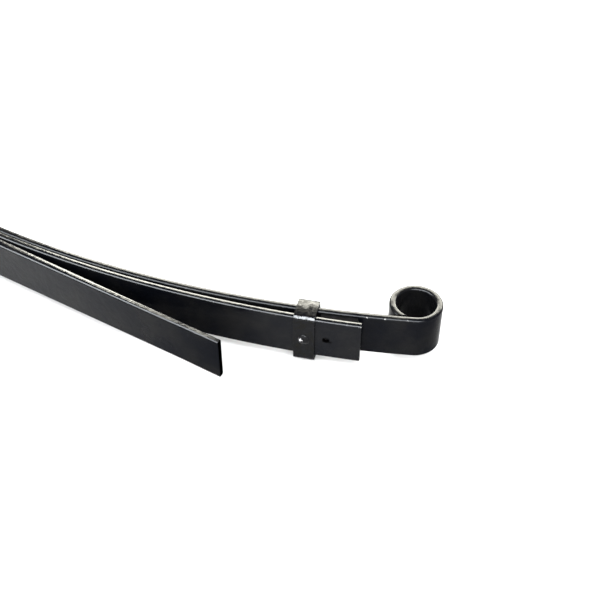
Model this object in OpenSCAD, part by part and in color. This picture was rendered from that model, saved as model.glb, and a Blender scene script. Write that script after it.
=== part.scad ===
// Light-truck leaf spring: two full leaves, one straight overload leaf, a centre bolt and two rebound clips.
// The spring lies on its long edges: X runs along the leaves, Y is the way the spring bends (the eyes are
// rolled towards +Y) and Z runs across the leaves. The origin is where the centre bolt's axis meets the face
// of the overload leaf that sits on the axle. A leaf that bends is cut once on each side of the clamped
// centre, where a rounded nose turns in a socket, so that its arm can swing as the real leaf flexes.

/* [Leaves] */
// Width of every leaf
leaf_width = 63.5; // [50:0.5:76]
// Thickness of the main leaf and of the second leaf
leaf_thickness = 9.5; // [8.5:0.5:11]
// Half the length of the flat centre, which the axle's U-bolts clamp
clamp_half = 50; // [40:1:60]

/* [Main leaf] */
// Bend radius of the main leaf's outer face
main_radius = 1450; // [1440:5:1470]
// Length along the leaf from the centre bolt to an eye
main_reach = 700; // [690:5:740]
// Inner radius of an eye
eye_bore_radius = 25.5; // [19:0.5:28]
// Angle through which an eye is rolled, in degrees
eye_wrap = 333; // [325:1:335]
// Slot between an eye's cut end and the leaf
eye_slot = 1.2; // [0.8:0.1:2]

/* [Second leaf] */
// Bend radius of the second leaf's outer face
second_radius = 1590; // [1570:5:1610]
// Length along the second leaf from the centre bolt to its end
second_reach = 638; // [630:1:642]

/* [Overload leaf] */
// Length of the overload leaf from the centre bolt to its end
overload_reach = 487; // [440:1:500]
// Thickness of the overload leaf at the centre
overload_thickness = 14; // [12:0.5:16]
// How much the overload leaf's outer face tapers in towards its ends
overload_outer_taper = 4.5; // [2:0.5:5]
// How much the overload leaf's inner face tapers in towards its ends
overload_inner_taper = 1.5; // [1:0.5:3]

/* [Flexing arms] */
// Length along a leaf from the centre bolt to the point about which its arm swings
flex_reach = 150; // [130:5:160]

/* [Centre bolt] */
// Radius of the bolt's shank
bolt_radius = 5.95; // [5:0.05:6]
// Radius of the round head that locates the spring on the axle
bolt_head_radius = 8.75; // [8:0.25:10]
// Height of the round head
bolt_head_height = 8; // [6:0.5:10]
// Length of thread left showing past the nut
bolt_end = 4; // [2:0.5:8]
// Width of the nut across its flats
nut_flats = 19; // [17:1:22]
// Height of the nut
nut_height = 10; // [8:0.5:12]

/* [Rebound clips] */
// Length along the second leaf from the centre bolt to a clip's rivet
clip_reach = 565; // [560:1:567]
// Width of the clip's strap
clip_width = 28; // [22:1:30]
// Thickness of the clip's strap
clip_thickness = 3.2; // [2.5:0.1:4]
// Room left between the clip's upper leg and the leaves' long edges
clip_room = 1.5; // [1.2:0.1:2]
// Distance from the middle of the leaves down to the clip's middle and its rivet
clip_sag = 2.5; // [0:0.5:4]
// Room left between the main leaf and the clip's folded ends
clip_slack = 5.5; // [1.5:0.5:7]
// Length of each end that is folded over the main leaf
clip_fold = 13; // [8:1:20]

/* [Clip rivets] */
// Radius of a rivet's shank
rivet_radius = 4; // [3:0.25:5]
// Radius of a rivet's head
rivet_head_radius = 8; // [6:0.5:9]
// Height of a rivet's domed head
rivet_head_height = 3; // [2:0.25:4]

/* [Tip liners] */
// Length along the second leaf from the centre bolt to a liner's button
button_reach = 593.5; // [590:0.5:600]
// Radius of the hole that the button plugs
button_hole_radius = 3.2; // [2.5:0.1:4]
// Depth of the button's end below the second leaf's outer face
button_recess = 3; // [1:0.5:5]
// Length of a liner
liner_length = 48; // [40:1:50]
// Distance of a liner from each long edge of the leaf
liner_inset = 3; // [2:0.5:8]

/* [Hidden] */

// How finely the bends and the small round features are drawn
long_fn = 1440;
small_fn = 64;
// Room that makes every cut run past the face it cuts
past = 1;

// Each leaf is [y of its outer face at the clamped centre, bend radius of that face]
second_leaf = [overload_thickness, second_radius];
main_leaf = [overload_thickness + leaf_thickness, main_radius];
stack_top = overload_thickness + 2 * leaf_thickness;

// The nose is a little thinner than the leaf, so its shoulders stand clear of the socket
nose_radius = leaf_thickness / 2 - 0.25;
nose_length = leaf_width - 0.5;
nose_play = 0.05;
socket_setback = 1.2;

eye_radius = eye_bore_radius + leaf_thickness;
bolt_hole_radius = bolt_radius + 0.3;
rivet_play = 0.1;
button_play = 0.1;
// A liner starts just outside the clip, and the main leaf slides just clear of it
liner_start = clip_reach + clip_width / 2 + 5;
liner_play = 0.6;

// Inside size and bend radius of a clip
clip_inner_half = leaf_width / 2 + clip_room + clip_sag;
clip_bend = 1.5;

// Angle at a length along a leaf, in degrees from the clamped centre
function turned(leaf, reach) = (reach - clamp_half) / leaf[1] * 180 / PI;
// Centre of a leaf's bend on the right
function bend_centre(leaf) = [clamp_half, leaf[0] + leaf[1], 0];

// Puts its children on a leaf's outer face: X along the leaf, Y through its thickness, Z across it
module on_leaf(leaf, reach) {
    translate(bend_centre(leaf))
        rotate([0, 0, turned(leaf, reach)])
            translate([0, -leaf[1], 0])
                children();
}

// Bar bent to a radius: it starts at X = 0, with its outer face on Y = 0, and curls towards +Y
module bow(radius, angle, near, far, width) {
    translate([0, radius, 0])
        rotate([0, 0, -90])
            rotate_extrude(angle = angle, $fn = long_fn)
                translate([radius - far, -width / 2])
                    square([far - near, width]);
}

// Stretch of a leaf on the right, between two lengths along it, drawn outwards from the first
module stretch(leaf, from, to, near, far, width) {
    on_leaf(leaf, from)
        bow(leaf[1], turned(leaf, to) - turned(leaf, from), near, far, width);
}

// The same, drawn back from the second, so that what joins it there meets it face to face
module stretch_back(leaf, from, to, near, far, width) {
    on_leaf(leaf, to)
        mirror([1, 0, 0])
            bow(leaf[1], turned(leaf, to) - turned(leaf, from), near, far, width);
}

// Round bar across a leaf at the middle of its thickness
module cross_bar(leaf, reach, radius, length) {
    on_leaf(leaf, reach)
        translate([0, leaf_thickness / 2, 0])
            cylinder(h = length, r = radius, center = true, $fn = small_fn);
}

// Round hole or pin through the leaves' thickness, from one depth to another at the leaf's middle
module through_pin(radius, from, to) {
    translate([0, from, 0])
        rotate([-90, 0, 0])
            cylinder(h = to - from, r = radius, $fn = small_fn);
}

// Clamped part of a leaf with a socket at each end and the centre bolt's hole
module leaf_centre(leaf) {
    difference() {
        union() {
            translate([-clamp_half, leaf[0], -leaf_width / 2])
                cube([2 * clamp_half, leaf_thickness, leaf_width]);
            for (side = [0, 1])
                mirror([side, 0, 0])
                    stretch(leaf, clamp_half, flex_reach - socket_setback, 0, leaf_thickness, leaf_width);
        }
        for (side = [0, 1])
            mirror([side, 0, 0])
                cross_bar(leaf, flex_reach, nose_radius + nose_play, leaf_width + 2 * past);
        through_pin(bolt_hole_radius, leaf[0] - past, leaf[0] + leaf_thickness + past);
    }
}

// Arm of a leaf on the right, from its nose to a length along it
module leaf_arm(leaf, reach) {
    cross_bar(leaf, flex_reach, nose_radius, nose_length);
    stretch_back(leaf, flex_reach, reach, 0, leaf_thickness, leaf_width);
}

// Eye on the right: the same bar rolled tighter, its end cut off parallel to the leaf
module eye() {
    difference() {
        on_leaf(main_leaf, main_reach)
            bow(eye_radius, eye_wrap, 0, leaf_thickness, leaf_width);
        stretch_back(main_leaf, main_reach - 2 * eye_radius, main_reach, -past, leaf_thickness + eye_slot,
                     leaf_width + 2 * past);
    }
}

module main_leaf_arm() {
    color("#1b1d20") {
        union() {
            leaf_arm(main_leaf, main_reach);
            eye();
        }
    }
}

module second_leaf_arm() {
    color("#202226") {
        difference() {
            leaf_arm(second_leaf, second_reach);
            at_clip()
                through_pin(rivet_radius + rivet_play, -past, leaf_thickness + past);
            on_leaf(second_leaf, button_reach)
                through_pin(button_hole_radius, -past, leaf_thickness + past);
        }
    }
}

// Puts its children at the clip's middle, on the second leaf's outer face
module at_clip() {
    on_leaf(second_leaf, clip_reach)
        translate([0, 0, -clip_sag])
            children();
}

// Quarter bend of the clip's strap about X, turned from the one that runs from -Z to +Y
module clip_corner(turn) {
    rotate([turn, 0, 0])
        rotate([0, 90, 0])
            rotate_extrude(angle = 90, $fn = small_fn)
                translate([clip_bend, -clip_width / 2])
                    square([clip_thickness, clip_width]);
}

// Clip on the right: a strap bent round both leaves, its ends folded over the main leaf
module rebound_clip() {
    // The main leaf has drawn away from the second leaf by this much at the clip
    opening = pow(clip_reach - clamp_half, 2) / 2 * (1 / main_radius - 1 / second_radius);
    depth = 2 * leaf_thickness + opening + clip_slack;
    flat_half = clip_inner_half - clip_bend;
    color("#3a3a34")
        at_clip()
            difference() {
                union() {
                    translate([-clip_width / 2, -clip_thickness, -flat_half])
                        cube([clip_width, clip_thickness, 2 * flat_half]);
                    for (side = [0, 1])
                        mirror([0, 0, side]) {
                            translate([-clip_width / 2, clip_bend, clip_inner_half])
                                cube([clip_width, depth - 2 * clip_bend, clip_thickness]);
                            translate([-clip_width / 2, depth, flat_half - clip_fold])
                                cube([clip_width, clip_thickness, clip_fold]);
                            translate([0, clip_bend, flat_half])
                                clip_corner(180);
                            translate([0, depth - clip_bend, flat_half])
                                clip_corner(90);
                        }
                }
                through_pin(rivet_radius + rivet_play, -clip_thickness - past, past);
            }
}

module clip_rivet() {
    color("#8d8f90")
        at_clip() {
            through_pin(rivet_radius, -clip_thickness, leaf_thickness);
            translate([0, -clip_thickness, 0])
                rotate([90, 0, 0])
                    domed_head();
            translate([0, leaf_thickness, 0])
                rotate([-90, 0, 0])
                    domed_head();
        }
}

// Low spherical head standing on the XY plane
module domed_head() {
    dome_radius = (pow(rivet_head_radius, 2) + pow(rivet_head_height, 2)) / (2 * rivet_head_height);
    rotate_extrude($fn = small_fn)
        intersection() {
            square([rivet_head_radius, rivet_head_height]);
            translate([0, rivet_head_height - dome_radius])
                circle(r = dome_radius, $fn = long_fn);
        }
}

// Liner on the right: a wedge that fills the opening between the leaves, held by a button
module tip_liner() {
    color("#0d0d0e") {
        difference() {
            stretch(second_leaf, liner_start, liner_start + liner_length, leaf_thickness,
                    3 * leaf_thickness, leaf_width - 2 * liner_inset);
            translate(bend_centre(main_leaf))
                cylinder(h = leaf_width + 2 * past, r = main_radius + liner_play, center = true, $fn = long_fn);
        }
        on_leaf(second_leaf, button_reach)
            through_pin(button_hole_radius - button_play, button_recess, leaf_thickness + 0.1);
    }
}

module main_leaf_centre() {
    color("#1b1d20")
        leaf_centre(main_leaf);
}

module second_leaf_centre() {
    color("#202226")
        leaf_centre(second_leaf);
}

module overload_leaf() {
    outer = overload_outer_taper;
    inner = overload_thickness - overload_inner_taper;
    color("#26282c")
        difference() {
            linear_extrude(height = leaf_width, center = true)
                polygon([
                    [-overload_reach, outer], [-clamp_half, 0], [clamp_half, 0], [overload_reach, outer],
                    [overload_reach, inner], [clamp_half, overload_thickness],
                    [-clamp_half, overload_thickness], [-overload_reach, inner],
                ]);
            through_pin(bolt_hole_radius, -past, overload_thickness + past);
        }
}

module centre_bolt() {
    color("#6f7274") {
        through_pin(bolt_head_radius, -bolt_head_height, 0);
        through_pin(bolt_radius, 0, stack_top + nut_height + bolt_end);
    }
}

module centre_nut() {
    color("#7b7e80")
        difference() {
            translate([0, stack_top, 0])
                rotate([-90, 0, 0])
                    cylinder(h = nut_height, d = nut_flats / cos(30), $fn = 6);
            through_pin(bolt_radius + 0.05, stack_top - past, stack_top + nut_height + past);
        }
}

module on_left() {
    mirror([1, 0, 0])
        children();
}

main_leaf_centre();
main_leaf_arm();  // main_leaf_arm_right
on_left() main_leaf_arm();  // main_leaf_arm_left
second_leaf_centre();
second_leaf_arm();  // second_leaf_arm_right
on_left() second_leaf_arm();  // second_leaf_arm_left
overload_leaf();
centre_bolt();
centre_nut();
rebound_clip();  // rebound_clip_right
on_left() rebound_clip();  // rebound_clip_left
clip_rivet();  // clip_rivet_right
on_left() clip_rivet();  // clip_rivet_left
tip_liner();  // tip_liner_right
on_left() tip_liner();  // tip_liner_left
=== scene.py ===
"""Light-truck leaf spring: finished meshes, finishes, floor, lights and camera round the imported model.

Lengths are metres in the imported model's frame: X runs along the leaves, Y is the way they bend and
Z runs across them. Right-hand pieces are modelled first, and left-hand ones are their mirror images.
"""

import logging
import math
from dataclasses import dataclass
from enum import Enum
from typing import Sequence

import bmesh
import bpy
from mathutils import Matrix, Vector
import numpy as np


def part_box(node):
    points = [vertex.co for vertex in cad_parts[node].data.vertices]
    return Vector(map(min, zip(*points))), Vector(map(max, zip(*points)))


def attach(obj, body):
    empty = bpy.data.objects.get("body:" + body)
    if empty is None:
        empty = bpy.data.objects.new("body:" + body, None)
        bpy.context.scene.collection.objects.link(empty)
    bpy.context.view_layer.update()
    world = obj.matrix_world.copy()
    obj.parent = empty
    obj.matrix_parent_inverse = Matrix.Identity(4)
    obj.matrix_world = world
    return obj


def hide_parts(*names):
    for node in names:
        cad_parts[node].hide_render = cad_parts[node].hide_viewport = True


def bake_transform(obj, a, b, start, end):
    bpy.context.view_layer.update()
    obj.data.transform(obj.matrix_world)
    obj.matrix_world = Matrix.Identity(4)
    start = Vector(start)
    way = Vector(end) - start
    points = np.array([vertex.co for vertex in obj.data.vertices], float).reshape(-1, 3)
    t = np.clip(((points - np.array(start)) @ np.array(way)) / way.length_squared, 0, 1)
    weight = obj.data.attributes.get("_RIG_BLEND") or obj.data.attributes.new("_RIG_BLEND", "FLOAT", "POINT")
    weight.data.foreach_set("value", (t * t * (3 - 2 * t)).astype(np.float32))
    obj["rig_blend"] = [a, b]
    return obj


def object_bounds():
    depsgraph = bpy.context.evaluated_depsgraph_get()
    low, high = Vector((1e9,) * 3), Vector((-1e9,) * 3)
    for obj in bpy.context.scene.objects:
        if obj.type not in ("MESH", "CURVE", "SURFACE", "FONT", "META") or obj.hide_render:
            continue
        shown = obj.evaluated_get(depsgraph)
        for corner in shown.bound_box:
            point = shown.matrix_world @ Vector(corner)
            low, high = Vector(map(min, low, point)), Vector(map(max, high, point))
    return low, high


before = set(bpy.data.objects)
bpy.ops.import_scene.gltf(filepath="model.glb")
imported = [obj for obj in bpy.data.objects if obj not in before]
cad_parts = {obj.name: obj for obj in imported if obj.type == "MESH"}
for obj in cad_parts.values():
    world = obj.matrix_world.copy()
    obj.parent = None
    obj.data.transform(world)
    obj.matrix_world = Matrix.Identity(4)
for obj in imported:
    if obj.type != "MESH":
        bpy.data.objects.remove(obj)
CAD_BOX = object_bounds()
LOG = logging.getLogger("leaf_spring")

Colour = tuple[float, float, float]
Socket = bpy.types.NodeSocket
BMeshPart = bmesh.types.BMVert | bmesh.types.BMEdge | bmesh.types.BMFace

ACROSS = Vector((0.0, 0.0, 1.0))
THROUGH = Vector((0.0, 1.0, 0.0))
SHARP_ANGLE = math.radians(38.0)
QUARTER_TURN = 0.5 * math.pi
FULL_TURN = 2.0 * math.pi
WELD = 1e-6
CLAMP_HALF = 0.050
CLAMP_STEPS = 16
BOLT_HOLE = 0.00625


class Side(Enum):
    """End of the spring that a piece belongs to."""

    RIGHT = 1
    LEFT = -1

    @property
    def label(self) -> str:
        """Ending of the names of this side's pieces and bodies."""
        return self.name.lower()

    @property
    def mirror(self) -> Matrix:
        """Matrix that carries a right-hand piece to this side."""
        return Matrix.Diagonal((self.value, 1.0, 1.0, 1.0))


class Layer(Enum):
    """Vertex attribute that a finish reads."""

    ALONG = "along"
    RIM = "rim"


# ---------------------------------------------------------------------------------------------
# Mesh tools
# ---------------------------------------------------------------------------------------------


@dataclass(frozen=True)
class BarSection:
    """Section of a bar: two flat faces, two crowned edges and a small fillet at each corner.

    It is drawn in its own YZ plane, from the outer face at Y = 0, with Z across the bar.
    """

    thickness: float
    width: float
    corner: float
    crown: float
    corner_steps: int = 4
    edge_cuts: int = 7

    def draw(self, mesh: bmesh.types.BMesh, rim: bmesh.types.BMLayerItem) -> None:
        """Draws the section as one face.

        Args:
            mesh: An empty mesh that takes the face.
            rim: Vertex layer for the distance from the nearest corner.
        """
        half = self.width / 2 - self.crown
        middle = self.thickness / 2
        around = ((0.0, -half), (self.thickness, -half), (self.thickness, half), (0.0, half))
        corners = [mesh.verts.new((0.0, y, z)) for y, z in around]
        bmesh.ops.contextual_create(mesh, geom=corners)
        bmesh.ops.bevel(
            mesh, geom=corners, affect="VERTICES", offset=self.corner, offset_type="OFFSET",
            segments=self.corner_steps, profile=0.5, material=-1,
        )
        longer_than_fillets = 1.2 * self.corner
        flats = [e for e in mesh.edges if e.calc_length() > longer_than_fillets]
        edges = [e for e in flats if abs((e.verts[0].co - e.verts[1].co).y) > self.corner]
        faces = [e for e in flats if e not in edges]
        bmesh.ops.subdivide_edges(mesh, edges=edges, cuts=self.edge_cuts)
        bmesh.ops.subdivide_edges(mesh, edges=faces, cuts=1)
        bmesh.ops.dissolve_faces(mesh, faces=mesh.faces, use_verts=False)
        for vert in mesh.verts:
            off_centre = abs(vert.co.y - middle)
            vert[rim] = max(half - abs(vert.co.z), middle - off_centre)
            rise = self.crown * (1.0 - (off_centre / middle) ** 2)
            vert.co.z += math.copysign(rise, vert.co.z)


class DrawnBar:
    """Bar drawn forward from one section through straights and bends.

    The moving end has its own frame: X is the way the bar runs, Y goes through its thickness
    towards the inside of its bends, and Z lies across it.
    """

    def __init__(self, section: BarSection, place: Matrix, along: float, eased: float = 0.0) -> None:
        """Starts a bar.

        Args:
            section: The bar's section.
            place: Frame of the first section.
            along: Length along the bar at which it starts.
            eased: Radius to which the first section's rim is rounded.
        """
        self.section = section
        self.place = place.copy()
        self.travelled = along
        self.inset = 0.0
        self.mesh = bmesh.new()
        self.along = self.mesh.verts.layers.float.new(Layer.ALONG.value)
        self.rim = self.mesh.verts.layers.float.new(Layer.RIM.value)
        section.draw(self.mesh, self.rim)
        self.mesh.faces.ensure_lookup_table()
        self.loop = list(self.mesh.faces[0].edges)
        if eased:
            bmesh.ops.transform(self.mesh, matrix=self._shrunk(eased), verts=self.mesh.verts)
            self.inset = eased
        bmesh.ops.transform(self.mesh, matrix=place, verts=self.mesh.verts)
        for vert in self.mesh.verts:
            vert[self.along] = along
        if eased:
            self._round(eased, growing=True)

    def _shrunk(self, inset: float) -> Matrix:
        """Matrix that brings the section from its present inset to another."""
        middle = Matrix.Translation((0.0, self.section.thickness / 2, 0.0))
        through, across = (
            (size - 2 * inset) / (size - 2 * self.inset)
            for size in (self.section.thickness, self.section.width)
        )
        return middle @ Matrix.Diagonal((1.0, through, across, 1.0)) @ middle.inverted()

    def advance(self, move: Matrix, length: float, inset: float = 0.0) -> None:
        """Extrudes the end by one move.

        Args:
            move: The move, in the end's own frame.
            length: How far the move goes along the bar.
            inset: How far the section's rim is drawn in after the move.
        """
        grown = bmesh.ops.extrude_edge_only(self.mesh, edges=self.loop)["geom"]
        verts = {g for g in grown if isinstance(g, bmesh.types.BMVert)}
        edges = (g for g in grown if isinstance(g, bmesh.types.BMEdge))
        self.loop = [e for e in edges if e.verts[0] in verts and e.verts[1] in verts]
        whole = self.place @ move @ self._shrunk(inset) @ self.place.inverted()
        bmesh.ops.transform(self.mesh, matrix=whole, verts=list(verts))
        self.place = self.place @ move
        self.inset = inset
        self.travelled += length
        for vert in verts:
            vert[self.along] = self.travelled

    def straight(self, length: float, steps: int = 1) -> None:
        """Draws the bar straight on, in equal steps."""
        for _ in range(steps):
            self.advance(Matrix.Translation((length / steps, 0.0, 0.0)), length / steps)

    def bend(self, radius: float, angle: float, steps: int) -> None:
        """Bends the bar inwards.

        Args:
            radius: Radius of the outer face.
            angle: Angle of the bend, in radians.
            steps: Number of equal steps.
        """
        centre = Matrix.Translation((0.0, radius, 0.0))
        move = centre @ Matrix.Rotation(angle / steps, 4, "Z") @ centre.inverted()
        for _ in range(steps):
            self.advance(move, radius * angle / steps)

    def _round(self, radius: float, growing: bool, steps: int = 3) -> None:
        """Draws a quarter round, growing from an eased start or closing in on an eased end."""
        reached = 0.0
        for step in range(1, steps + 1):
            turn = QUARTER_TURN * step / steps
            forward, inset = radius * math.sin(turn), radius * (1 - math.cos(turn))
            if growing:
                forward, inset = radius * (1 - math.cos(turn)), radius * (1 - math.sin(turn))
            move = Matrix.Translation((forward - reached, 0.0, 0.0))
            self.advance(move, forward - reached, inset)
            reached = forward

    def finish(self, eased: float = 0.0) -> bmesh.types.BMesh:
        """Closes the bar's end.

        Args:
            eased: Radius to which the end's rim is rounded.

        Returns:
            The bar's mesh.
        """
        if eased:
            self._round(eased, growing=False)
        bmesh.ops.edgeloop_fill(self.mesh, edges=self.loop)
        return self.mesh


def drill(
    mesh: bmesh.types.BMesh, place: Matrix, radius: float, thickness: float, reach: float,
    chamfer: float = 0.0004, segments: int = 32,
) -> None:
    """Opens a round hole through the two faces of a bar.

    Args:
        mesh: The bar's mesh.
        place: Frame on the bar's outer face at the hole's centre, with Y through the bar.
        radius: The hole's radius.
        thickness: The bar's thickness at the hole.
        reach: Length along the bar at the hole's centre.
        chamfer: Width of the broken edge at both ends of the hole.
        segments: Number of sides that the round hole is drawn with.
    """
    patch = 1.9 * radius
    near_patch = 4 * patch
    inverse = place.inverted()
    turn = inverse.to_3x3()
    along = mesh.verts.layers.float[Layer.ALONG.value]
    rim = mesh.verts.layers.float[Layer.RIM.value]

    def flat_faces(limit: float) -> list[bmesh.types.BMFace]:
        """Faces square to the hole whose centres lie within a distance of it along the bar."""
        return [
            f for f in mesh.faces
            if abs((turn @ f.normal).y) > 0.9 and abs((inverse @ f.calc_center_median()).x) < limit
        ]

    mesh.normal_update()
    for axis in (Vector((1.0, 0.0, 0.0)), ACROSS):
        for sign in (-1, 1):
            near = flat_faces(near_patch)
            parts = {e for f in near for e in f.edges} | {v for f in near for v in f.verts}
            bmesh.ops.bisect_plane(
                mesh, geom=near + list(parts), dist=WELD,
                plane_co=place @ (axis * sign * patch), plane_no=place.to_3x3() @ axis,
            )
    within = [f for f in flat_faces(patch) if abs((inverse @ f.calc_center_median()).z) < patch]
    outer = {f for f in within if (inverse @ f.calc_center_median()).y < thickness / 2}
    rings = []
    for patched in (outer, set(within) - outer):
        outline = {e for f in patched for e in f.edges}
        rings.append([e for e in outline if sum(f in patched for f in e.link_faces) == 1])
    bmesh.ops.delete(mesh, geom=within, context="FACES")
    mouth = radius + chamfer
    circles = []
    for depth, size in (
        (0.0, mouth), (chamfer, radius), (thickness - chamfer, radius), (thickness, mouth),
    ):
        seat = place @ Matrix.Translation((0.0, depth, 0.0)) @ Matrix.Rotation(QUARTER_TURN, 4, "X")
        made = bmesh.ops.create_circle(mesh, segments=segments, radius=size, matrix=seat)["verts"]
        for vert in made:
            vert[along] = reach
            vert[rim] = radius
        circles.append(list({e for v in made for e in v.link_edges}))
    order = [rings[0], *circles, rings[1]]
    for first, second in zip(order, order[1:]):
        bmesh.ops.bridge_loops(mesh, edges=first + second)


def lathe(profile: Sequence[tuple[float, float]], place: Matrix, steps: int = 48) -> bmesh.types.BMesh:
    """Turns a profile about the Y axis.

    Args:
        profile: Points as (distance along Y, radius); the first and last may lie on the axis.
        place: Frame that the finished shape is put in.
        steps: Number of steps round the axis.

    Returns:
        The closed mesh.
    """
    mesh = bmesh.new()
    verts = [mesh.verts.new((radius, along, 0.0)) for along, radius in profile]
    edges = [mesh.edges.new(pair) for pair in zip(verts, verts[1:])]
    if min(profile[0][1], profile[-1][1]) > 0.0:
        edges.append(mesh.edges.new((verts[-1], verts[0])))
    bmesh.ops.spin(
        mesh, geom=verts + edges, cent=(0, 0, 0), axis=THROUGH, angle=FULL_TURN, steps=steps, use_merge=True,
    )
    bmesh.ops.remove_doubles(mesh, verts=mesh.verts, dist=WELD)
    bmesh.ops.transform(mesh, matrix=place, verts=mesh.verts)
    return mesh


def cut_away(
    mesh: bmesh.types.BMesh, point: Vector, normal: Vector, parts: Sequence[BMeshPart] | None = None,
) -> None:
    """Cuts off what lies behind a plane and closes the cut.

    Args:
        mesh: The mesh to cut.
        point: A point on the plane.
        normal: The plane's normal, towards what stays.
        parts: The geometry that the cut is limited to, or None for all of it.
    """
    geom = parts if parts is not None else mesh.verts[:] + mesh.edges[:] + mesh.faces[:]
    cut = bmesh.ops.bisect_plane(
        mesh, geom=geom, dist=WELD, plane_co=point, plane_no=normal, clear_inner=True,
    )["geom_cut"]
    edges = [g for g in cut if isinstance(g, bmesh.types.BMEdge)]
    bmesh.ops.holes_fill(mesh, edges=edges, sides=0)


def add_object(name: str, data: bpy.types.ID) -> bpy.types.Object:
    """Adds an object to the scene."""
    made = bpy.data.objects.new(name, data)
    bpy.context.scene.collection.objects.link(made)
    return made


def add_mesh(name: str, mesh: bmesh.types.BMesh, finish: bpy.types.Material) -> bpy.types.Object:
    """Adds a mesh to the scene in one finish, and frees its draft."""
    data = bpy.data.meshes.new(name)
    mesh.to_mesh(data)
    mesh.free()
    data.materials.append(finish)
    return add_object(name, data)


def settle(
    name: str, mesh: bmesh.types.BMesh, side: Side, finish: bpy.types.Material,
) -> bpy.types.Object:
    """Turns a finished mesh into a piece.

    Args:
        name: The piece's name.
        mesh: Its mesh, made for the right-hand side.
        side: The side it goes on.
        finish: Its material.

    Returns:
        The piece, which rides on nothing yet.
    """
    bmesh.ops.transform(mesh, matrix=side.mirror, verts=mesh.verts)
    bmesh.ops.recalc_face_normals(mesh, faces=mesh.faces)
    for face in mesh.faces:
        face.smooth = True
    for edge in mesh.edges:
        edge.smooth = edge.calc_face_angle(0.0) < SHARP_ANGLE
    gaps = sum(not e.is_manifold for e in mesh.edges)
    piece = add_mesh(name, mesh, finish)
    shading = piece.modifiers.new("even_shading", "WEIGHTED_NORMAL")
    shading.keep_sharp = True
    LOG.info("%s: %d faces, %d open edges", name, len(piece.data.polygons), gaps)
    return piece


# ---------------------------------------------------------------------------------------------
# Finishes
# ---------------------------------------------------------------------------------------------


class Painter:
    """Node tree of a material or of the studio's walls, with short calls that add and join its nodes."""

    def __init__(self, owner: bpy.types.Material | bpy.types.World, shader: str, output: str) -> None:
        """Empties the owner's node tree and joins one new shader to its output."""
        owner.use_nodes = True
        self.owner = owner
        self.tree = owner.node_tree
        self.tree.nodes.clear()
        self.shader = self.node(shader)
        self.feed(self.node(output).inputs["Surface"], self.shader.outputs[0])

    @classmethod
    def for_material(cls, name: str) -> "Painter":
        """Painter of a new material with a principled shader."""
        return cls(bpy.data.materials.new(name), "ShaderNodeBsdfPrincipled", "ShaderNodeOutputMaterial")

    @classmethod
    def for_walls(cls, name: str) -> "Painter":
        """Painter of the walls round the studio."""
        return cls(bpy.data.worlds.new(name), "ShaderNodeBackground", "ShaderNodeOutputWorld")

    def node(self, kind: str, **settings: object) -> bpy.types.Node:
        """Adds a node with some of its settings."""
        made = self.tree.nodes.new(kind)
        for setting, value in settings.items():
            setattr(made, setting, value)
        return made

    def feed(self, target: Socket, source: Socket | float | Sequence[float]) -> None:
        """Joins a socket to its source, or sets its value."""
        if isinstance(source, bpy.types.NodeSocket):
            self.tree.links.new(source, target)
        else:
            target.default_value = source

    def place(self) -> Socket:
        """Position on the piece."""
        return self.node("ShaderNodeTexCoord").outputs["Object"]

    def layer(self, layer: Layer) -> Socket:
        """One of the piece's vertex attributes."""
        return self.node("ShaderNodeAttribute", attribute_name=layer.value).outputs["Fac"]

    def split(self, vector: Socket) -> bpy.types.NodeOutputs:
        """X, Y and Z of a vector."""
        made = self.node("ShaderNodeSeparateXYZ")
        self.feed(made.inputs[0], vector)
        return made.outputs

    def join(self, x: Socket | float, y: Socket | float, z: Socket | float) -> Socket:
        """A vector from its parts."""
        made = self.node("ShaderNodeCombineXYZ")
        for target, source in zip(made.inputs, (x, y, z)):
            self.feed(target, source)
        return made.outputs[0]

    def maths(self, operation: str, first: Socket | float, second: Socket | float = 0.0) -> Socket:
        """Result of one operation on one or two values."""
        made = self.node("ShaderNodeMath", operation=operation)
        self.feed(made.inputs[0], first)
        self.feed(made.inputs[1], second)
        return made.outputs[0]

    def square_sum(self, first: Socket, second: Socket) -> Socket:
        """Sum of the squares of two values."""
        squares = (self.maths("MULTIPLY", value, value) for value in (first, second))
        return self.maths("ADD", *squares)

    def noise(self, where: Socket, size: float, detail: float = 2.0, harshness: float = 0.5) -> Socket:
        """Noise whose patches are about one size across, in metres."""
        made = self.node("ShaderNodeTexNoise")
        self.feed(made.inputs["Vector"], where)
        self.feed(made.inputs["Scale"], 1.0 / size)
        self.feed(made.inputs["Detail"], detail)
        self.feed(made.inputs["Roughness"], harshness)
        return made.outputs["Fac"]

    def fade(self, value: Socket, start: float, end: float, low: float = 0.0, high: float = 1.0) -> Socket:
        """Smooth change from low to high as a value goes from start to end."""
        made = self.node("ShaderNodeMapRange", interpolation_type="SMOOTHSTEP")
        for target, source in zip(made.inputs, (value, start, end, low, high)):
            self.feed(target, source)
        return made.outputs[0]

    def blend(self, share: Socket, first: Socket | Colour, second: Socket | Colour) -> Socket:
        """Colour that goes from the first to the second."""
        made = self.node("ShaderNodeMix", data_type="RGBA")
        self.feed(made.inputs["Factor"], share)
        for target, source in ((made.inputs[6], first), (made.inputs[7], second)):
            self.feed(target, source if isinstance(source, bpy.types.NodeSocket) else (*source, 1.0))
        return made.outputs[2]

    def bump(self, height: Socket, depth: float, under: Socket | None = None) -> Socket:
        """Normal bent by a height that is worth a depth in metres."""
        made = self.node("ShaderNodeBump")
        self.feed(made.inputs["Distance"], depth)
        self.feed(made.inputs["Height"], height)
        if under is not None:
            self.feed(made.inputs["Normal"], under)
        return made.outputs[0]

    def shade(self, **sockets: Socket | float | Sequence[float]) -> bpy.types.Material | bpy.types.World:
        """Sets the shader's sockets, whose names are written with _ for a space.

        Returns:
            The finished material or walls.
        """
        for name, source in sockets.items():
            self.feed(self.shader.inputs[name.replace("_", " ")], source)
        return self.owner


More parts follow.
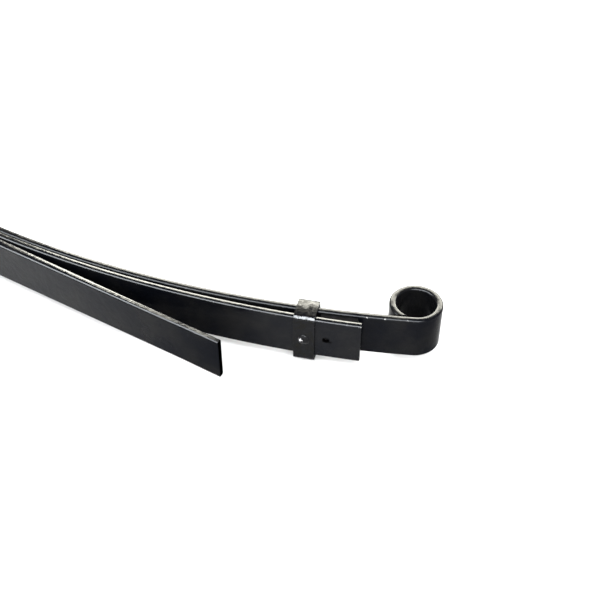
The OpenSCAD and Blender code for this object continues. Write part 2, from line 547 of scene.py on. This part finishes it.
@dataclass(frozen=True)
class Shading:
    """Painted shade: a leaf's sheen, and so how bright its faces look, changes along them from a start to an
    end on both sides of the bolt.
    """

    start: float
    end: float
    share_at_start: float
    share_at_end: float


@dataclass(frozen=True)
class Grime:
    """Painted shade: a dark, unglossy oval on a leaf's faces for the dark of the button hole or of a gouge
    beside it, by its middle and its half length and height.
    """

    reach: float
    height: float
    half_long: float
    half_high: float


@dataclass(frozen=True)
class LeafPaint:
    """Glossy black paint on rolled spring bar, rubbed along the corners, with painted shade: sheen lowered
    along parts of the faces, and dark ovals where given.
    """

    name: str
    sheen: float
    shading: Shading
    grime: tuple[Grime, ...] = ()
    black: Colour = (0.0022, 0.0026, 0.0040)
    dusty: Colour = (0.0062, 0.0062, 0.0064)
    bare: Colour = (0.30, 0.30, 0.29)
    dirt: Colour = (0.001, 0.001, 0.001)
    gloss: float = 0.10
    dull: float = 0.22
    scuff_rough: float = 0.10
    rub_strength: float = 0.35
    face_half: float = 0.0285
    edge_from: float = 0.0300
    chips: tuple[float, ...] = (0.638, 0.661)
    chip_size: float = 0.0013
    chips_from: float = 0.0280

    def make(self) -> bpy.types.Material:
        """Builds the material."""
        paint = Painter.for_material(self.name)
        place = paint.place()
        along, rim = paint.layer(Layer.ALONG), paint.layer(Layer.RIM)
        parts = paint.split(place)
        streaks = paint.join(paint.maths("MULTIPLY", along, 0.05), parts["Z"], parts["Y"])
        patches = paint.noise(place, size=0.045, detail=4.0, harshness=0.6)
        scuffs = paint.fade(paint.noise(streaks, size=0.0011), 0.60, 0.74)
        near_rim = paint.fade(rim, 0.0008, 0.0026, 1.0, 0.0)
        wear = paint.fade(paint.noise(place, size=0.006, detail=5.0, harshness=0.7), 0.60, 0.72)
        rubbed = paint.maths("MULTIPLY", paint.maths("MULTIPLY", near_rim, wear), self.rub_strength)
        worn = paint.maths("MAXIMUM", rubbed, self._chips(paint, along, rim, parts))
        ground = paint.blend(paint.fade(patches, 0.35, 0.75), self.black, self.dusty)
        colour = paint.blend(worn, ground, self.bare)
        rough = paint.fade(patches, 0.3, 0.7, self.gloss, self.dull)
        rough = paint.maths("ADD", rough, paint.maths("MULTIPLY", scuffs, self.scuff_rough))
        relief = paint.bump(paint.noise(place, size=0.011, detail=3.0, harshness=0.55), 0.00035)
        relief = paint.bump(paint.noise(place, size=0.0026, detail=3.0, harshness=0.6), 0.00006, relief)
        relief = paint.bump(worn, -0.00025, relief)
        sheen = self._sheen(paint, parts)
        # painted shade: near-black colour and no sheen in the ovals, for the dark of the button hole and a
        # gouge beside it
        if self.grime:
            painted_shade = self._dirty(paint, along, parts)
            colour = paint.blend(painted_shade, colour, self.dirt)
            sheen = paint.maths("MULTIPLY", sheen, paint.maths("SUBTRACT", 1.0, painted_shade))
        return paint.shade(Base_Color=colour, Roughness=rough, Normal=relief, Specular_IOR_Level=sheen)

    def _sheen(self, paint: Painter, parts: bpy.types.NodeOutputs) -> Socket:
        """Sheen with painted shade: lowered along parts of the faces to make them look darker, and even on
        the edges.
        """
        on_face = paint.fade(paint.maths("ABSOLUTE", parts["Z"]), self.face_half, self.edge_from, 1.0, 0.0)
        share = paint.fade(
            paint.maths("ABSOLUTE", parts["X"]), self.shading.start, self.shading.end,
            self.shading.share_at_start, self.shading.share_at_end,
        )
        # painted shade: faces lose sheen where the share is below one, so they look darker there
        loss = paint.maths("MULTIPLY", on_face, paint.maths("SUBTRACT", 1.0, share))
        return paint.maths("MULTIPLY", paint.maths("SUBTRACT", 1.0, loss), self.sheen)

    @staticmethod
    def _right_side(paint: Painter, parts: bpy.types.NodeOutputs) -> Socket:
        """Mask of the spring's right side."""
        return paint.fade(parts["X"], 0.0, 0.1)

    def _dirty(self, paint: Painter, along: Socket, parts: bpy.types.NodeOutputs) -> Socket:
        """Mask of the painted shade by the button hole on the right-hand arm."""
        found: Socket | float = 0.0
        for oval in self.grime:
            forward = paint.maths("DIVIDE", paint.maths("SUBTRACT", along, oval.reach), oval.half_long)
            across = paint.maths("DIVIDE", paint.maths("SUBTRACT", parts["Z"], oval.height), oval.half_high)
            inside = paint.fade(paint.square_sum(across, forward), 0.6, 1.1, 1.0, 0.0)
            found = paint.maths("MAXIMUM", found, inside)
        return paint.maths("MULTIPLY", found, self._right_side(paint, parts))

    def _chips(self, paint: Painter, along: Socket, rim: Socket, parts: bpy.types.NodeOutputs) -> Socket:
        """Mask of the chips on the right-hand arm's upper corners."""
        upper = paint.fade(parts["Z"], self.chips_from, self.edge_from)
        found: Socket | float = 0.0
        for reach in self.chips:
            away = paint.maths("ABSOLUTE", paint.maths("SUBTRACT", along, reach))
            away = paint.maths("MAXIMUM", away, rim)
            chip = paint.fade(away, 0.6 * self.chip_size, self.chip_size, 1.0, 0.0)
            found = paint.maths("MAXIMUM", found, chip)
        right_and_upper = paint.maths("MULTIPLY", upper, self._right_side(paint, parts))
        return paint.maths("MULTIPLY", found, right_and_upper)


@dataclass(frozen=True)
class ClipPaint:
    """Thick, pebbled black paint on bent strip, with painted shade on the front of the top leg and a painted
    highlight along the front bend.
    """

    name: str = "clip_paint"
    black: Colour = (0.0040, 0.0042, 0.0050)
    olive: Colour = (0.0075, 0.0072, 0.0060)
    gloss: float = 0.05
    dull: float = 0.14
    least_sheen: float = 0.025
    most_sheen: float = 0.062
    shade_stretch: tuple[float, float] = (0.0310, 0.0450)
    shade_share: float = 0.25
    highlight_stretch: tuple[float, float] = (0.0460, 0.0530)
    highlight_share: float = 3.2
    stretch_fade: float = 0.0025
    wander: float = 0.0030

    def make(self) -> bpy.types.Material:
        """Builds the material."""
        paint = Painter.for_material(self.name)
        place = paint.place()
        patches = paint.noise(place, size=0.006, detail=4.0, harshness=0.65)
        colour = paint.blend(paint.fade(patches, 0.42, 0.68), self.black, self.olive)
        rough = paint.fade(patches, 0.35, 0.65, self.gloss, self.dull)
        relief = paint.bump(paint.noise(place, size=0.0040, detail=3.0, harshness=0.6), 0.0004)
        relief = paint.bump(paint.noise(place, size=0.0012), 0.00008, relief)
        along = paint.layer(Layer.ALONG)
        wandering = paint.maths("ADD", along, paint.fade(patches, 0.3, 0.7, -self.wander, self.wander))
        sheen = paint.fade(patches, 0.40, 0.62, self.most_sheen, self.least_sheen)
        # painted shade: less sheen on the front half of the top leg; painted highlight: more than three times
        # the sheen along the front bend
        for where, (start, end), share in (
            (wandering, self.shade_stretch, self.shade_share), (along, self.highlight_stretch, self.highlight_share),
        ):
            after = paint.fade(where, start, start + self.stretch_fade)
            before = paint.fade(where, end, end + self.stretch_fade, 1.0, 0.0)
            inside = paint.maths("MULTIPLY", after, before)
            sheen = paint.maths("MULTIPLY", sheen, paint.fade(inside, 0.0, 1.0, 1.0, share))
        return paint.shade(Base_Color=colour, Roughness=rough, Normal=relief, Specular_IOR_Level=sheen)


@dataclass(frozen=True)
class RivetPaint:
    """Painted rivet, rubbed on its dome beside the middle, where the bare patch also stands for the dome's
    highlight: partly wear, partly a painted highlight.

    The spot is the middle of the rubbed patch: its distance from the bolt and its height across the leaf.
    """

    spot: tuple[float, float]
    name: str = "rivet_paint"
    black: Colour = (0.0045, 0.0045, 0.0050)
    steel: Colour = (0.70, 0.70, 0.70)
    sheen: float = 0.05
    rub_and_glint_radius: float = 0.0026

    def make(self) -> bpy.types.Material:
        """Builds the material."""
        paint = Painter.for_material(self.name)
        place = paint.place()
        patches = paint.noise(place, size=0.0022, detail=3.0, harshness=0.6)
        parts = paint.split(place)
        along = paint.maths("SUBTRACT", paint.maths("ABSOLUTE", parts["X"]), self.spot[0])
        across = paint.maths("SUBTRACT", parts["Z"], self.spot[1])
        away = paint.maths("SQRT", paint.square_sum(along, across))
        edge = paint.maths("ADD", away, paint.fade(patches, 0.3, 0.7, -0.0012, 0.0016))
        # bare, rubbed patch: partly wear, partly a painted highlight where the dome shines; the dome's own
        # sheen is kept low
        worn = paint.fade(edge, 0.6 * self.rub_and_glint_radius, self.rub_and_glint_radius, 1.0, 0.0)
        colour = paint.blend(worn, self.black, self.steel)
        rough = paint.fade(patches, 0.3, 0.7, 0.16, 0.34)
        relief = paint.bump(paint.noise(place, size=0.0025, detail=3.0), 0.00030)
        return paint.shade(
            Base_Color=colour, Roughness=rough, Metallic=worn, Normal=relief, Specular_IOR_Level=self.sheen,
        )


@dataclass(frozen=True)
class BoltSteel:
    """Phosphated steel with a thin coat of the spring's paint."""

    name: str = "bolt_steel"
    grey: Colour = (0.045, 0.046, 0.048)
    painted: Colour = (0.010, 0.010, 0.011)

    def make(self) -> bpy.types.Material:
        """Builds the material."""
        steel = Painter.for_material(self.name)
        place = steel.place()
        grain = steel.noise(place, size=0.0009, detail=3.0, harshness=0.7)
        cover = steel.fade(steel.noise(place, size=0.008, detail=4.0, harshness=0.6), 0.44, 0.60)
        colour = steel.blend(cover, self.grey, self.painted)
        rough = steel.fade(cover, 0.0, 1.0, 0.46, 0.26)
        metal = steel.fade(cover, 0.0, 1.0, 0.85, 0.0)
        relief = steel.bump(grain, 0.00006)
        return steel.shade(Base_Color=colour, Roughness=rough, Metallic=metal, Normal=relief)


@dataclass(frozen=True)
class LinerPlastic:
    """Black moulded plastic with a fine grain, its sheen set almost to nothing so that it stays as dark as
    the shade in the gap between the leaves: painted shade.
    """

    name: str = "liner_plastic"
    black: Colour = (0.0030, 0.0030, 0.0033)
    rubbed: Colour = (0.0080, 0.0080, 0.0085)
    sheen: float = 0.004

    def make(self) -> bpy.types.Material:
        """Builds the material."""
        plastic = Painter.for_material(self.name)
        place = plastic.place()
        patches = plastic.noise(place, size=0.009, detail=4.0, harshness=0.6)
        colour = plastic.blend(plastic.fade(patches, 0.45, 0.75), self.black, self.rubbed)
        rough = plastic.fade(patches, 0.3, 0.7, 0.60, 0.75)
        relief = plastic.bump(plastic.noise(place, size=0.0007), 0.00004)
        return plastic.shade(Base_Color=colour, Roughness=rough, Normal=relief, Specular_IOR_Level=self.sheen)


@dataclass(frozen=True)
class FloorPaper:
    """Pale matt studio paper."""

    name: str = "floor_paper"
    pale: Colour = (0.80, 0.80, 0.80)
    paler: Colour = (0.83, 0.83, 0.825)

    def make(self) -> bpy.types.Material:
        """Builds the material."""
        paper = Painter.for_material(self.name)
        cloud = paper.noise(paper.place(), size=0.5, detail=3.0)
        colour = paper.blend(cloud, self.pale, self.paler)
        return paper.shade(Base_Color=colour, Roughness=0.85, Specular_IOR_Level=0.2)


# ---------------------------------------------------------------------------------------------
# The spring
# ---------------------------------------------------------------------------------------------


@dataclass(frozen=True)
class LeafCurve:
    """Line of a leaf's outer face: a flat centre, then one even bend."""

    start: float
    bend_radius: float
    flat_half: float = CLAMP_HALF

    def frame_at(self, reach: float) -> Matrix:
        """Frame on the outer face.

        Args:
            reach: Length along the leaf from the centre bolt, to the right.

        Returns:
            A frame with X along the leaf, Y through it and Z across it.
        """
        if reach <= self.flat_half:
            return Matrix.Translation((reach, self.start, 0.0))
        turn = Matrix.Rotation((reach - self.flat_half) / self.bend_radius, 4, "Z")
        centre = Matrix.Translation((self.flat_half, self.start + self.bend_radius, 0.0))
        return centre @ turn @ Matrix.Translation((0.0, -self.bend_radius, 0.0))


@dataclass(frozen=True)
class BentLeaf:
    """A full-length leaf: a clamped middle and an arm on each side that bends as it flexes."""

    name: str
    curve: LeafCurve
    section: BarSection
    reach: float
    ring_step: float = 0.006
    end_round: float = 0.0009
    flex_from: float = 0.090
    flex_to: float = 0.300

    def middle(self, finish: bpy.types.Material) -> None:
        """Builds the clamped middle with the centre bolt's hole."""
        flat = self.curve.flat_half
        start = Matrix.Translation((-flat, self.curve.start, 0.0))
        bar = DrawnBar(self.section, start, -flat)
        bar.straight(2 * flat, CLAMP_STEPS)
        mesh = bar.finish()
        drill(mesh, self.curve.frame_at(0.0), BOLT_HOLE, self.section.thickness, 0.0)
        piece = settle(f"{self.name}_middle", mesh, Side.RIGHT, finish)
        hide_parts(f"{self.name}_centre")
        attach(piece, "seat")

    def arm_bar(self, end: float) -> DrawnBar:
        """Draws the arm's bent stretch as far as a length along the leaf, with its end still open."""
        flat = self.curve.flat_half
        bar = DrawnBar(self.section, self.curve.frame_at(flat), flat)
        length = end - flat
        bar.bend(self.curve.bend_radius, length / self.curve.bend_radius, round(length / self.ring_step))
        return bar

    def shape_arm(self) -> bmesh.types.BMesh:
        """Builds the right-hand arm's mesh."""
        return self.arm_bar(self.reach - self.end_round).finish(self.end_round)

    def arm(self, side: Side, body: str, finish: bpy.types.Material) -> None:
        """Builds one arm and lets it bend between the seat and its own body.

        Args:
            side: The side of the spring.
            body: Start of the name of the arm's body.
            finish: The leaf's paint.
        """
        piece = settle(f"{self.name}_{side.label}", self.shape_arm(), side, finish)
        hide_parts(f"{self.name}_arm_{side.label}")
        limits = (self.flex_from, self.flex_to)
        ends = [side.mirror @ self.curve.frame_at(reach).translation for reach in limits]
        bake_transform(piece, "seat", f"{body}_{side.label}", start=ends[0], end=ends[1])


@dataclass(frozen=True)
class MainLeaf(BentLeaf):
    """The longest leaf, whose ends are rolled into eyes."""

    eye_radius: float = 0.035
    eye_wrap: float = math.radians(333.0)
    eye_slot: float = 0.0012
    free_end: float = math.radians(48.0)
    turn_step: float = math.radians(4.0)

    def shape_arm(self) -> bmesh.types.BMesh:
        """Builds the right-hand arm's mesh, with its eye."""
        bar = self.arm_bar(self.reach)
        first = self.eye_wrap - self.free_end
        bar.bend(self.eye_radius, first, round(first / self.turn_step))
        kept = set(bar.mesh.faces)
        bar.bend(self.eye_radius, self.free_end, round(self.free_end / self.turn_step))
        mesh = bar.finish()
        loose = [f for f in mesh.faces if f not in kept]
        parts = {e for f in loose for e in f.edges} | {v for f in loose for v in f.verts}
        slot = self.curve.frame_at(self.reach - self.eye_radius / 2)
        point = slot @ Vector((0.0, self.section.thickness + self.eye_slot, 0.0))
        cut_away(mesh, point, slot.to_3x3() @ THROUGH, loose + list(parts))
        return mesh


@dataclass(frozen=True)
class SecondLeaf(BentLeaf):
    """The shorter full leaf, which carries the clips and the tip liners."""

    rivet_reach: float = 0.565
    rivet_sag: float = 0.0025
    rivet_hole: float = 0.0041
    button_reach: float = 0.5935
    button_hole: float = 0.0032

    def shape_arm(self) -> bmesh.types.BMesh:
        """Builds the right-hand arm's mesh, with its two holes."""
        mesh = super().shape_arm()
        thickness = self.section.thickness
        drill(mesh, self.rivet_place(), self.rivet_hole, thickness, self.rivet_reach)
        drill(mesh, self.curve.frame_at(self.button_reach), self.button_hole, thickness, self.button_reach)
        return mesh

    def rivet_place(self) -> Matrix:
        """Frame at the middle of the right-hand clip's rivet, on the outer face."""
        return self.curve.frame_at(self.rivet_reach) @ Matrix.Translation(ACROSS * -self.rivet_sag)


@dataclass(frozen=True)
class OverloadLeaf:
    """The thick straight leaf, whose faces close in towards its ends."""

    section: BarSection
    reach: float
    outer_taper: float = 0.0045
    inner_taper: float = 0.0015
    taper_steps: int = 60
    end_round: float = 0.0010

    def build(self, finish: bpy.types.Material) -> None:
        """Builds the leaf."""
        start = Matrix.Translation((-self.reach, 0.0, 0.0))
        bar = DrawnBar(self.section, start, -self.reach, self.end_round)
        taper = self.reach - CLAMP_HALF - self.end_round
        bar.straight(taper, self.taper_steps)
        bar.straight(2 * CLAMP_HALF, CLAMP_STEPS)
        bar.straight(taper, self.taper_steps)
        mesh = bar.finish(self.end_round)
        middle = self.section.thickness / 2
        for vert in mesh.verts:
            share = max(0.0, abs(vert.co.x) - CLAMP_HALF) / (self.reach - CLAMP_HALF)
            vert.co.y += share * (self.outer_taper if vert.co.y < middle else -self.inner_taper)
        drill(mesh, Matrix.Identity(4), BOLT_HOLE, self.section.thickness, 0.0)
        piece = settle("overload_bar", mesh, Side.RIGHT, finish)
        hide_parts("overload_leaf")
        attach(piece, "seat")


@dataclass(frozen=True)
class ReboundClip:
    """Strap bent round both leaves, its ends folded over the main leaf, with its rivet."""

    place: Matrix
    inner_half: float
    inner_depth: float
    leaf_thickness: float
    strap: BarSection
    bend_inside: float = 0.0034
    bend_steps: int = 10
    fold: float = 0.0130
    end_round: float = 0.0004
    bow: float = 0.0009
    rivet_radius: float = 0.0040
    head_radius: float = 0.0080
    head_height: float = 0.0030
    head_rim: float = 0.0004
    dome_steps: int = 10

    def strap_mesh(self) -> bmesh.types.BMesh:
        """Builds the right-hand strap, from one folded end to the other, its legs a little bowed."""
        thick = self.strap.thickness
        outside = self.bend_inside + thick
        half, depth = self.inner_half + thick, self.inner_depth + 2 * thick
        fold_start = half - outside - self.fold + self.bend_inside
        flat_fold = half - outside - fold_start - self.end_round
        upwards = Matrix(((0, 0, 1, 0), (0, -1, 0, 0), (1, 0, 0, 0), (0, 0, 0, 1)))
        corner = Matrix.Translation((0.0, depth - thick, fold_start))
        bar = DrawnBar(self.strap, self.place @ corner @ upwards, 0.0, self.end_round)
        bar.straight(flat_fold, steps=3)
        for leg in (depth, 2 * half, depth):
            bar.bend(outside, QUARTER_TURN, self.bend_steps)
            bar.straight(leg - 2 * outside, steps=6)
        bar.bend(outside, QUARTER_TURN, self.bend_steps)
        bar.straight(flat_fold, steps=3)
        mesh = bar.finish(self.end_round)
        inverse = self.place.inverted()
        for vert in mesh.verts:
            local = inverse @ vert.co
            off_middle = 2 * (local.y - (depth / 2 - thick)) / depth
            local.z *= 1 - self.bow / half * off_middle ** 2
            vert.co = self.place @ local
        return mesh

    def rivet_mesh(self) -> bmesh.types.BMesh:
        """Builds the right-hand rivet: a shank with a low dome at each end."""
        rise = self.head_height - self.head_rim
        ball = (self.head_radius ** 2 + rise ** 2) / (2 * rise)
        lean = math.asin(self.head_radius / ball)
        turns = [lean * step / self.dome_steps for step in range(self.dome_steps + 1)]
        dome = [(self.head_height - ball * (1 - math.cos(turn)), ball * math.sin(turn)) for turn in turns]
        front, back = -self.strap.thickness, self.leaf_thickness
        profile = [(front - height, radius) for height, radius in dome]
        profile += [(front, self.head_radius), (front, self.rivet_radius)]
        profile += [(back, self.rivet_radius), (back, self.head_radius)]
        profile += [(back + height, radius) for height, radius in reversed(dome)]
        return lathe(profile, self.place)

    def build(self, side: Side, strap_finish: bpy.types.Material, rivet_finish: bpy.types.Material) -> None:
        """Builds one clip and its rivet.

        Args:
            side: The side of the spring.
            strap_finish: The strap's paint.
            rivet_finish: The rivet's finish.
        """
        strap = settle(f"clip_strap_{side.label}", self.strap_mesh(), side, strap_finish)
        rivet = settle(f"rivet_{side.label}", self.rivet_mesh(), side, rivet_finish)
        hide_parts(f"rebound_clip_{side.label}")
        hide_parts(f"clip_rivet_{side.label}")
        for piece in (strap, rivet):
            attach(piece, f"second_arm_{side.label}")


@dataclass(frozen=True)
class CentreBolt:
    """The bolt through the clamped centre, with its nut."""

    stack_top: float
    radius: float = 0.00595
    root_radius: float = 0.00505
    head_radius: float = 0.00875
    head_height: float = 0.0080
    end: float = 0.0040
    pitch: float = 0.00175
    nut_flats: float = 0.0190
    nut_height: float = 0.0100
    nut_lean: float = math.radians(30.0)
    chamfer: float = 0.0008
    thread_steps: int = 36

    def bolt_mesh(self) -> bmesh.types.BMesh:
        """Builds the head and the plain shank, as far as the middle of the nut."""
        head, edge = self.head_radius, self.chamfer
        profile = [
            (-self.head_height, 0.0), (-self.head_height, head - edge), (edge - self.head_height, head),
            (-edge / 4, head), (0.0, head - edge / 4), (0.0, self.radius),
            (self.stack_top + self.nut_height / 4, self.radius), (self.stack_top + self.nut_height / 3, 0.0),
        ]
        return lathe(profile, Matrix.Identity(4))

    def thread_mesh(self) -> bmesh.types.BMesh:
        """Builds the threaded end, wound as one screw and cut off square."""
        mesh = bmesh.new()
        start, top = self.stack_top, self.stack_top + self.nut_height + self.end
        crest = self.pitch / 8
        wave = (
            (0.0, self.root_radius), (self.pitch / 2 - crest, self.radius),
            (self.pitch / 2 + crest, self.radius), (self.pitch, self.root_radius),
        )
        verts = [mesh.verts.new((radius, start + along, 0.0)) for along, radius in wave]
        edges = [mesh.edges.new(pair) for pair in zip(verts, verts[1:])]
        turns = math.ceil((top - start) / self.pitch) + 1
        first_whole_turn = start + 1.2 * self.pitch
        bmesh.ops.spin(
            mesh, geom=verts + edges, cent=(0, 0, 0), axis=THROUGH, angle=-FULL_TURN * turns,
            steps=self.thread_steps * turns, dvec=THROUGH * (self.pitch / self.thread_steps),
        )
        bmesh.ops.remove_doubles(mesh, verts=mesh.verts, dist=WELD)
        cut_away(mesh, THROUGH * first_whole_turn, THROUGH)
        cut_away(mesh, THROUGH * top, -THROUGH)
        return mesh

    def nut_mesh(self) -> bmesh.types.BMesh:
        """Builds the nut: a chamfered ring cut to six flats."""
        sides = 6
        flat = self.nut_flats / 2
        corner = flat / math.cos(math.pi / sides)
        low, high = self.stack_top, self.stack_top + self.nut_height
        slope = (corner - flat) * math.tan(self.nut_lean)
        profile = [
            (low, self.radius), (low, flat), (low + slope, corner), (high - slope, corner),
            (high, flat), (high, self.radius + self.chamfer), (high - self.chamfer, self.radius),
        ]
        mesh = lathe(profile, Matrix.Identity(4), steps=96)
        for side in range(sides):
            outwards = Matrix.Rotation(FULL_TURN * side / sides, 3, "Y") @ Vector((1.0, 0.0, 0.0))
            cut_away(mesh, outwards * flat, -outwards)
        return mesh

    def build(self, finish: bpy.types.Material) -> None:
        """Builds the bolt, its thread and its nut."""
        bolt, thread, nut = (
            settle(name, mesh, Side.RIGHT, finish)
            for name, mesh in (
                ("bolt_shank", self.bolt_mesh()), ("bolt_thread", self.thread_mesh()),
                ("bolt_nut", self.nut_mesh()),
            )
        )
        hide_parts("centre_bolt")
        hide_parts("centre_nut")
        for piece in (bolt, thread, nut):
            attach(piece, "seat")


class Spring:
    """The whole spring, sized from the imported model."""

    main_reach: float = 0.700
    main_bend: float = 1.450
    second_reach: float = 0.638
    second_bend: float = 1.590
    strap_thickness: float = 0.0032
    strap_width: float = 0.0280
    strap_room: float = 0.0015
    strap_slack: float = 0.0055
    rub_and_glint_inward: float = 0.0018
    rub_and_glint_up: float = 0.0009
    # ovals of painted shade at the button hole and at a gouge beside it
    liner_grime: tuple[Grime, ...] = (
        Grime(0.5935, -0.0010, 0.0034, 0.0044), Grime(0.5985, -0.0036, 0.0032, 0.0012),
    )

    def __init__(self) -> None:
        """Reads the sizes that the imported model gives."""
        main_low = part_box("main_leaf_centre")[0]
        second_low, second_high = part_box("second_leaf_centre")
        self.width = second_high.z - second_low.z
        self.thickness = main_low.y - second_low.y
        bar = BarSection(self.thickness, self.width, corner=0.0020, crown=0.0009)
        thick = BarSection(second_low.y, self.width, corner=0.0024, crown=0.0012, edge_cuts=9)
        self.overload = OverloadLeaf(thick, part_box("overload_leaf")[1].x)
        second_curve = LeafCurve(second_low.y, self.second_bend)
        main_curve = LeafCurve(main_low.y, self.main_bend)
        self.second = SecondLeaf("second_leaf", second_curve, bar, self.second_reach)
        self.main = MainLeaf("main_leaf", main_curve, bar, self.main_reach)
        self.bolt = CentreBolt(main_low.y + self.thickness)

    def clip(self) -> ReboundClip:
        """Works out the clip from the leaves that it holds."""
        bent = (self.second.rivet_reach - CLAMP_HALF) ** 2 / 2
        opening = bent * (1 / self.main_bend - 1 / self.second_bend)
        return ReboundClip(
            place=self.second.rivet_place(),
            inner_half=self.width / 2 + self.strap_room + self.second.rivet_sag,
            inner_depth=2 * self.thickness + opening + self.strap_slack,
            leaf_thickness=self.thickness,
            strap=BarSection(self.strap_thickness, self.strap_width, corner=0.0006, crown=0.0, edge_cuts=1),
        )

    def build(self) -> None:
        """Builds and dresses every piece."""
        # one paint on all three leaves; their sheens and painted shade differ only to set how bright each
        # leaf's faces look
        overload_paint = LeafPaint("overload_paint", 0.075, Shading(0.13, 0.53, 1.18, 0.10))
        second_paint = LeafPaint("second_paint", 0.070, Shading(0.42, 0.54, 0.15, 0.85), self.liner_grime)
        main_paint = LeafPaint("main_paint", 0.045, Shading(0.672, 0.694, 0.62, 0.20))
        # the rubbed patch is set inward and up from the rivet's middle, where the dome's highlight falls:
        # partly a painted highlight
        rivet = self.second.rivet_place().translation
        rivet_paint = RivetPaint((rivet.x - self.rub_and_glint_inward, rivet.z + self.rub_and_glint_up)).make()
        clip_paint, plastic = ClipPaint().make(), LinerPlastic().make()
        self.overload.build(overload_paint.make())
        self.bolt.build(BoltSteel().make())
        for leaf, body, paint in (
            (self.second, "second_arm", second_paint.make()), (self.main, "main_arm", main_paint.make()),
        ):
            leaf.middle(paint)
            for side in Side:
                leaf.arm(side, body, paint)
        clip = self.clip()
        for side in Side:
            clip.build(side, clip_paint, rivet_paint)
            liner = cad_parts[f"tip_liner_{side.label}"]
            liner.data.materials.clear()
            liner.data.materials.append(plastic)


# ---------------------------------------------------------------------------------------------
# Studio
# ---------------------------------------------------------------------------------------------


@dataclass(frozen=True)
class SoftBox:
    """A soft box that gives the spring its sheen and leaves the floor alone."""

    name: str
    place: Vector
    size: tuple[float, float]
    power: float
    colour: Colour

    def build(self, aim: Vector) -> None:
        """Hangs the soft box and turns it towards a point."""
        light = bpy.data.lights.new(self.name, "AREA")
        light.shape = "RECTANGLE"
        light.size, light.size_y = self.size
        light.energy = self.power
        light.color = self.colour
        lamp = add_object(self.name, light)
        turn = (aim - self.place).to_track_quat("-Z", "Y").to_matrix().to_4x4()
        lamp.matrix_world = Matrix.Translation(self.place) @ turn
        lamp.visible_camera = False
        lamp.visible_diffuse = False


@dataclass(frozen=True)
class Studio:
    """Pale floor, soft light and the camera."""

    floor_height: float
    floor_half: float = 30.0
    ceiling_strength: float = 9.0
    ceiling_spread: float = math.radians(150.0)
    ceiling_height: float = 3.0
    wall_pale: Colour = (0.95, 0.95, 0.95)
    wall_dark: Colour = (0.03, 0.03, 0.035)
    pale_to: float = math.radians(10.0)
    dark_from: float = math.radians(40.0)
    camera_place: Vector = Vector((1.0105, -0.6608, 0.88415))
    camera_turn: float = math.radians(-31.31)
    camera_tilt: float = math.radians(42.87)
    camera_roll: float = math.radians(0.24)
    lens: float = 58.33
    sensor: float = 36.0
    subject: Vector = Vector((0.40, 0.08, 0.0))

    def floor(self) -> None:
        """Lays the floor under the spring."""
        mesh = bmesh.new()
        bmesh.ops.create_grid(
            mesh, x_segments=8, y_segments=8, size=self.floor_half,
            matrix=Matrix.Translation((0.0, 0.0, self.floor_height)),
        )
        sheet = add_mesh("floor", mesh, FloorPaper().make())

    def from_subject(self, turn: float, rise: float, distance: float) -> Vector:
        """Point seen from the subject.

        Args:
            turn: Angle from straight away from the camera, to its right, in degrees.
            rise: Angle above the floor, in degrees.
            distance: How far away the point is.

        Returns:
            The point.
        """
        heading = self.camera_turn + math.radians(turn)
        level = math.cos(math.radians(rise))
        way = Vector((math.sin(heading) * level, math.cos(heading) * level, math.sin(math.radians(rise))))
        return self.subject + way * distance

    def lights(self) -> None:
        """Hangs the soft boxes and the broad light over the floor."""
        boxes = (
            SoftBox(
                "back", self.from_subject(turn=15.5, rise=33.5, distance=3.0),
                size=(3.2, 1.25), power=1000.0, colour=(1.0, 0.975, 0.86),
            ),
            SoftBox(
                "front", self.from_subject(turn=214.0, rise=47.0, distance=2.6),
                size=(5.4, 2.3), power=2600.0, colour=(0.91, 0.96, 1.0),
            ),
        )
        for box in boxes:
            box.build(self.subject)
        ceiling = bpy.data.lights.new("ceiling", "SUN")
        ceiling.energy = self.ceiling_strength
        ceiling.angle = self.ceiling_spread
        lamp = add_object("ceiling", ceiling)
        lamp.location = self.subject + ACROSS * self.ceiling_height
        lamp.visible_glossy = False

    def surroundings(self) -> None:
        """Makes the studio's walls pale near the floor and dark overhead."""
        walls = Painter.for_walls("studio")
        rise = walls.split(walls.node("ShaderNodeTexCoord").outputs["Generated"])["Z"]
        overhead = walls.fade(rise, math.sin(self.pale_to), math.sin(self.dark_from))
        colour = walls.blend(overhead, self.wall_pale, self.wall_dark)
        bpy.context.scene.world = walls.shade(Color=colour)
        bpy.context.scene.view_settings.view_transform = "Standard"

    def camera(self) -> None:
        """Sets up the camera."""
        forward = Vector((
            math.sin(self.camera_turn) * math.cos(self.camera_tilt),
            math.cos(self.camera_turn) * math.cos(self.camera_tilt),
            -math.sin(self.camera_tilt),
        ))
        right = Vector((math.cos(self.camera_turn), -math.sin(self.camera_turn), 0.0))
        up = right.cross(forward)
        axes = Matrix((right, up, -forward)).transposed().to_4x4()
        lens = bpy.data.cameras.new("camera")
        lens.sensor_width = self.sensor
        lens.lens = self.lens
        lens.clip_start, lens.clip_end = 0.01, 100.0
        camera = add_object("camera", lens)
        roll = Matrix.Rotation(self.camera_roll, 4, "Z")
        camera.matrix_world = Matrix.Translation(self.camera_place) @ axes @ roll
        bpy.context.scene.camera = camera

    def build(self) -> None:
        """Builds the studio."""
        self.floor()
        self.lights()
        self.surroundings()
        self.camera()


def main() -> None:
    """Builds the spring and the studio round it."""
    logging.basicConfig(level=logging.INFO, format="%(message)s")
    Spring().build()
    Studio(floor_height=CAD_BOX[0].z).build()
    bpy.context.view_layer.update()


if __name__ == "__main__":
    main()
